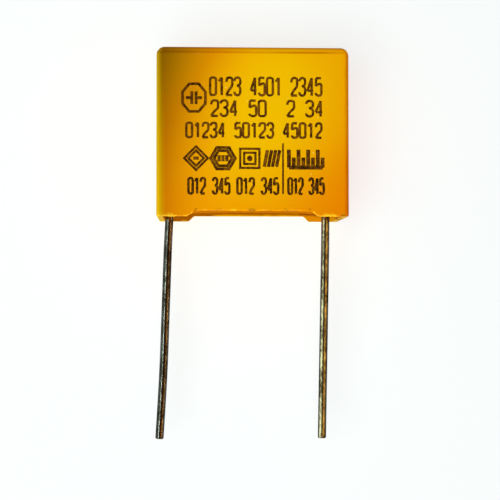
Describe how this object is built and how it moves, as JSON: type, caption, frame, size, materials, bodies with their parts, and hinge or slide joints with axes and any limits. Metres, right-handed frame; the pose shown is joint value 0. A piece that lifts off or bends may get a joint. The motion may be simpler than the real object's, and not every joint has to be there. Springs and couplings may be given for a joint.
{
  "type": "film capacitor",
  "caption": "Box film capacitor: a pressed film roll with sprayed ends and welded wire leads, potted in a footed plastic case.",
  "frame": {"origin": "centre of the broad back face, on which the capacitor lies", "axes": "+Z out of the printed broad face, +Y from the open footed end towards the closed end, so the leads point along -Y, +X from the left lead to the right lead"},
  "size_m": [0.0182, 0.037, 0.01],
  "materials": {
    "case_plastic": "moulded orange-yellow PBT, semi-gloss",
    "resin": "poured epoxy, smooth",
    "metallised_film": "wound metallised film",
    "sprayed_zinc": "sprayed zinc, rough",
    "tinned_wire": "tinned copper wire, drawn"
  },
  "bodies": {
    "root": {"case": "case_plastic", "potting_resin": "resin", "film_winding": "metallised_film", "end_spray_left": "sprayed_zinc", "end_spray_right": "sprayed_zinc", "lead_left": "tinned_wire", "lead_right": "tinned_wire"}
  },
  "joints": []
}
